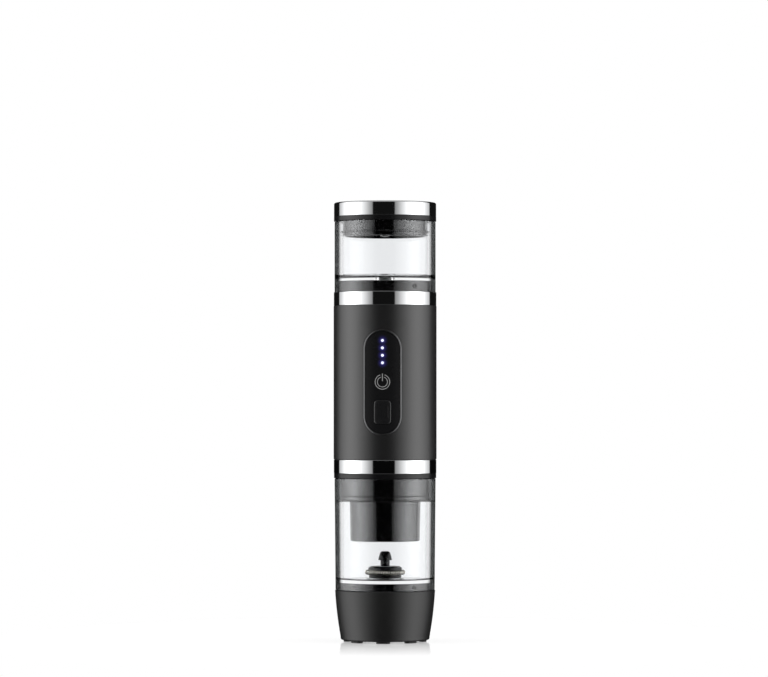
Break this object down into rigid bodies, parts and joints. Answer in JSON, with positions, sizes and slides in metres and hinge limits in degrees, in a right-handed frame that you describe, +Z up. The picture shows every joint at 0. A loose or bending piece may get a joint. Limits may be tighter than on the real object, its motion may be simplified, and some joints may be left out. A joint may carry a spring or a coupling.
{
  "type": "portable coffee machine",
  "caption": "Slim battery coffee machine: lidded clear tank, pump body with control panel and polished bands, capsule holder in a clear cup, and a base that spins a magnetic milk whisk.",
  "frame": {"origin": "middle of the footprint, on the surface that the feet stand on", "axes": "+Z up along the stack, the control panel faces -Y, +X to the right of someone facing the panel"},
  "size_m": [0.07, 0.07, 0.2981],
  "materials": {
    "satin_black": "satin soft-touch",
    "moulded_black": "semi-gloss moulded",
    "panel_gloss": "high gloss",
    "polished_band": "polished",
    "clear_wall": "clear moulded plastic",
    "silicone": "translucent silicone",
    "gasket_rubber": "matte",
    "steel": "drawn and turned",
    "magnet": "nickel plated",
    "motor_can": "zinc plated",
    "cell_wrap": "wrapped",
    "inner_frame": "moulded",
    "hose": "translucent silicone",
    "circuit_board": "solder mask",
    "switch_body": "moulded",
    "light_pipe": "frosted, lit"
  },
  "bodies": {
    "base": {"base_housing": "satin_black", "base_collar": "moulded_black", "base_plate": "moulded_black", "base_feet": "gasket_rubber", "base_screws": "steel", "motor_bracket": "steel", "bracket_screws": "steel", "frother_motor": "motor_can", "frother_battery": "cell_wrap", "frother_board": "circuit_board", "frother_switch": "switch_body", "frother_socket": "steel"},
    "drive_rotor": {"magnet_carrier": "inner_frame", "drive_magnets": "magnet", "motor_shaft": "steel"},
    "whisk_button": {"frother_button": "satin_black"},
    "cup": {"cup": "clear_wall", "whisk_spindle": "steel"},
    "whisk": {"whisk_hub": "moulded_black", "whisk_spring": "steel", "whisk_magnets": "magnet"},
    "machine": {"tank_collar": "moulded_black", "port_seal": "gasket_rubber", "upper_band": "polished_band", "body_shell": "satin_black", "lower_band": "polished_band", "lower_collar": "moulded_black", "cup_gasket": "gasket_rubber", "brew_head": "moulded_black", "head_gasket": "gasket_rubber", "piercing_needle": "steel", "deck_screws": "steel", "chassis": "inner_frame", "battery_cells": "cell_wrap", "battery_cap": "inner_frame", "upper_deck": "inner_frame", "pump_head": "inner_frame", "pump_motor": "motor_can", "inlet_tube": "hose", "control_panel": "panel_gloss", "led_light_pipes": "light_pipe", "indicator_leds": "light_pipe", "control_board": "circuit_board", "button_switch": "switch_body", "board_screws": "steel", "charging_board": "circuit_board", "charging_socket": "steel"},
    "power_button": {"power_button": "panel_gloss"},
    "holder": {"capsule_holder": "moulded_black"},
    "tank": {"water_tank": "clear_wall", "tank_filter": "steel"},
    "lid": {"lid_cap": "moulded_black", "lid_band": "polished_band", "lid_plug": "moulded_black", "lid_seal": "silicone", "vent_valve": "moulded_black"}
  },
  "joints": [
    {"name": "cup_twist", "type": "hinge", "parent": "base", "child": "cup", "pos_m": [0, 0, 0.036], "axis": [0, 0, 1], "range_deg": [0, 25]},
    {"name": "rotor_spin", "type": "hinge", "parent": "base", "child": "drive_rotor", "pos_m": [0, 0, 0.036], "axis": [0, 0, 1], "continuous": true},
    {"name": "whisk_press", "type": "slide", "parent": "base", "child": "whisk_button", "axis": [0, -1, 0], "range_m": [0, 0.0006], "stiffness_N_per_m": 1000, "springref_m": -0.0005},
    {"name": "whisk_spin", "type": "hinge", "parent": "cup", "child": "whisk", "pos_m": [0, 0, 0.044], "axis": [0, 0, 1], "continuous": true},
    {"name": "body_lift", "type": "slide", "parent": "cup", "child": "machine", "axis": [0, 0, 1], "range_m": [0, 0.08]},
    {"name": "holder_twist", "type": "hinge", "parent": "machine", "child": "holder", "pos_m": [0, 0, 0.1], "axis": [0, 0, -1], "range_deg": [0, 40]},
    {"name": "power_press", "type": "slide", "parent": "machine", "child": "power_button", "axis": [0, 1, 0], "range_m": [0, 0.0006], "stiffness_N_per_m": 1000, "springref_m": -0.0005},
    {"name": "tank_twist", "type": "hinge", "parent": "machine", "child": "tank", "pos_m": [0, 0, 0.24], "axis": [0, 0, 1], "range_deg": [0, 25]},
    {"name": "lid_lift", "type": "slide", "parent": "tank", "child": "lid", "axis": [0, 0, 1], "range_m": [0, 0.03]}
  ],
  "couplings": [
    {"joint": "whisk_spin", "follows": "rotor_spin", "ratio": 1}
  ]
}
